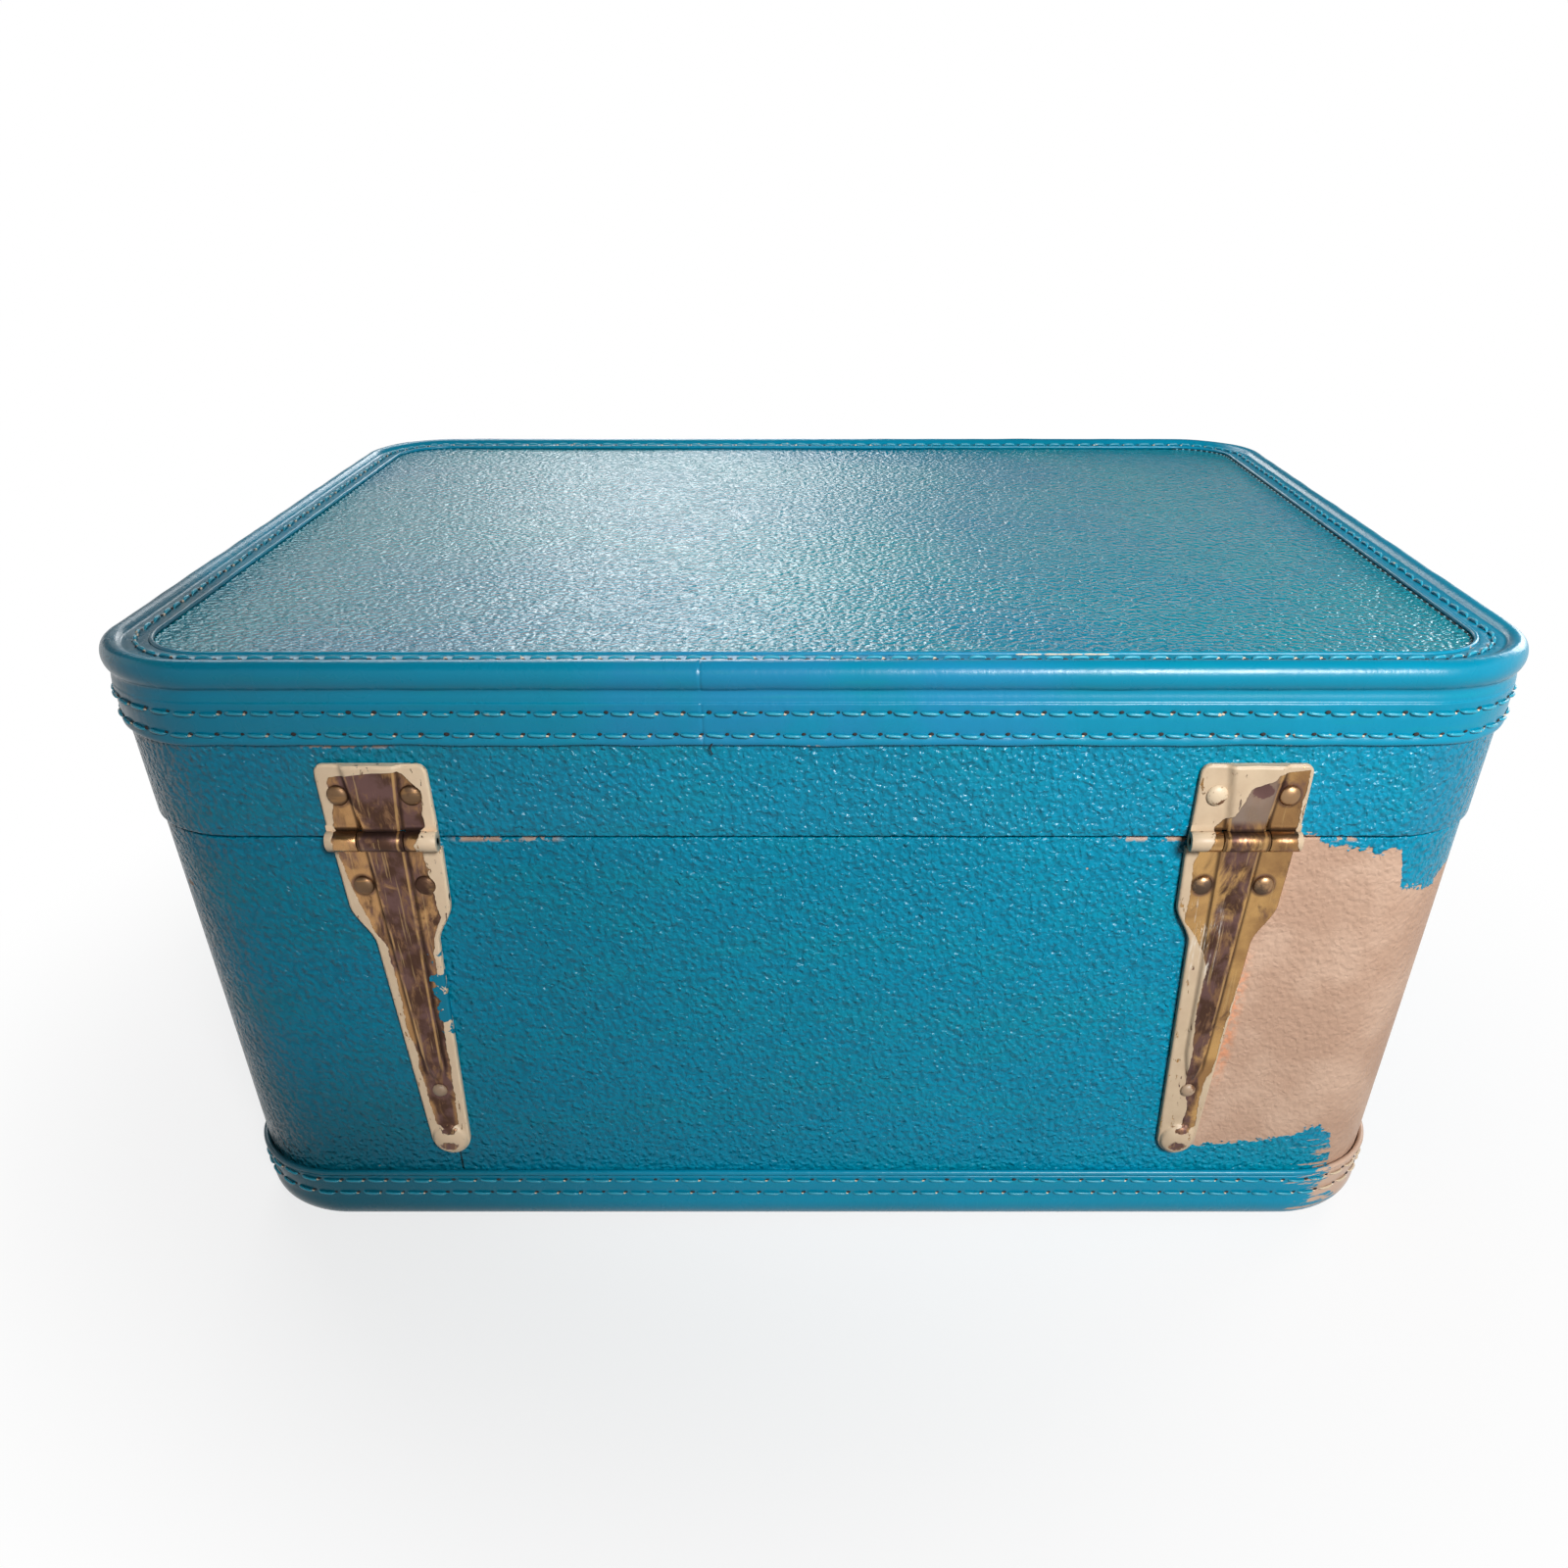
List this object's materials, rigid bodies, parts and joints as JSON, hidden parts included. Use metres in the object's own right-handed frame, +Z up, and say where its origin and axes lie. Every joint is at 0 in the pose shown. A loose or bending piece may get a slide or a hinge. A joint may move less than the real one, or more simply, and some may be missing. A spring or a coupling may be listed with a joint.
{
  "type": "hard-shell suitcase",
  "caption": "Vintage stitched hard-shell suitcase, deep base and shallow hinged lid, strap hinges, snap latches and a drop handle.",
  "frame": {"origin": "on the surface that the case lies on, under the middle of its bounding box", "axes": "+Z up through the lid, -Y towards the handle and latches, +Y towards the hinges, +X to the right when the handle is in front"},
  "size_m": [0.4126, 0.3524, 0.205],
  "materials": {
    "board": "raw bent plywood board",
    "covering": "pebbled vinyl painted teal, beige where the paint is missing, satin to glossy",
    "binding": "smooth vinyl binding painted teal, stitched, satin to glossy",
    "lining": "woven cream cloth, matte",
    "lip": "cloth-covered tan fibreboard, matte",
    "brass": "stamped brass, tarnished purple-brown, beige paint smeared along its edges",
    "steel": "plain steel, dull",
    "grip": "stitched leather over a core, painted teal"
  },
  "bodies": {
    "base": {"base_wall": "board", "base_floor": "board", "base_wall_covering": "covering", "base_floor_covering": "covering", "base_edge_binding": "binding", "base_welt": "binding", "base_lining": "lining", "base_floor_pad": "lining", "base_lip": "lip", "hinge_strap_left": "brass", "hinge_strap_right": "brass", "hinge_pin_left": "steel", "hinge_pin_right": "steel", "strap_rivet_left_1": "brass", "strap_rivet_left_2": "brass", "strap_rivet_left_3": "brass", "strap_rivet_right_1": "brass", "strap_rivet_right_2": "brass", "strap_rivet_right_3": "brass", "latch_plate_left": "brass", "latch_plate_right": "brass", "latch_pin_left": "steel", "latch_pin_right": "steel", "latch_spring_left": "steel", "latch_spring_right": "steel", "latch_rivet_left_1": "brass", "latch_rivet_left_2": "brass", "latch_rivet_right_1": "brass", "latch_rivet_right_2": "brass", "handle_bracket_left": "brass", "handle_bracket_right": "brass", "stay_stud": "steel"},
    "lid": {"lid_wall": "board", "lid_top_panel": "board", "lid_wall_covering": "covering", "lid_top_covering": "covering", "lid_edge_binding": "binding", "lid_welt": "binding", "lid_lining": "lining", "lid_top_lining": "lining", "hinge_leaf_left": "brass", "hinge_leaf_right": "brass", "leaf_rivet_left_1": "brass", "leaf_rivet_left_2": "brass", "leaf_rivet_right_1": "brass", "leaf_rivet_right_2": "brass", "latch_keeper_left": "brass", "latch_keeper_right": "brass", "stay_pivot": "steel"},
    "hasp_left": {"latch_hasp_left": "brass"},
    "hasp_right": {"latch_hasp_right": "brass"},
    "button_left": {"latch_button_left": "brass"},
    "button_right": {"latch_button_right": "brass"},
    "handle": {"handle_grip": "grip", "handle_link_left": "brass", "handle_link_right": "brass"},
    "stay": {"stay_arm": "steel"}
  },
  "joints": [
    {"name": "lid_hinge", "type": "hinge", "parent": "base", "child": "lid", "pos_m": [0, 0.17322, 0.1518], "axis": [-1, 0, 0], "range_deg": [0, 95]},
    {"name": "lid_stay_swing", "type": "hinge", "parent": "lid", "child": "stay", "pos_m": [0.19125, 0.09323, 0.1785], "axis": [1, 0, 0], "range_deg": [0, 47.5]},
    {"name": "hasp_left_swing", "type": "hinge", "parent": "base", "child": "hasp_left", "pos_m": [-0.116, -0.16542, 0.1159], "axis": [1, 0, 0], "range_deg": [0, 100]},
    {"name": "hasp_right_swing", "type": "hinge", "parent": "base", "child": "hasp_right", "pos_m": [0.116, -0.16542, 0.1159], "axis": [1, 0, 0], "range_deg": [0, 100]},
    {"name": "button_left_slide", "type": "slide", "parent": "base", "child": "button_left", "axis": [-1, 0, 0], "range_m": [0, 0.0045], "stiffness_N_per_m": 300, "springref_m": -0.002},
    {"name": "button_right_slide", "type": "slide", "parent": "base", "child": "button_right", "axis": [1, 0, 0], "range_m": [0, 0.0045], "stiffness_N_per_m": 300, "springref_m": -0.002},
    {"name": "handle_swing", "type": "hinge", "parent": "base", "child": "handle", "pos_m": [0, -0.16972, 0.1209], "axis": [-1, 0, 0], "range_deg": [0, 170]}
  ],
  "couplings": [
    {"joint": "lid_stay_swing", "follows": "lid_hinge", "ratio": 0.5}
  ]
}
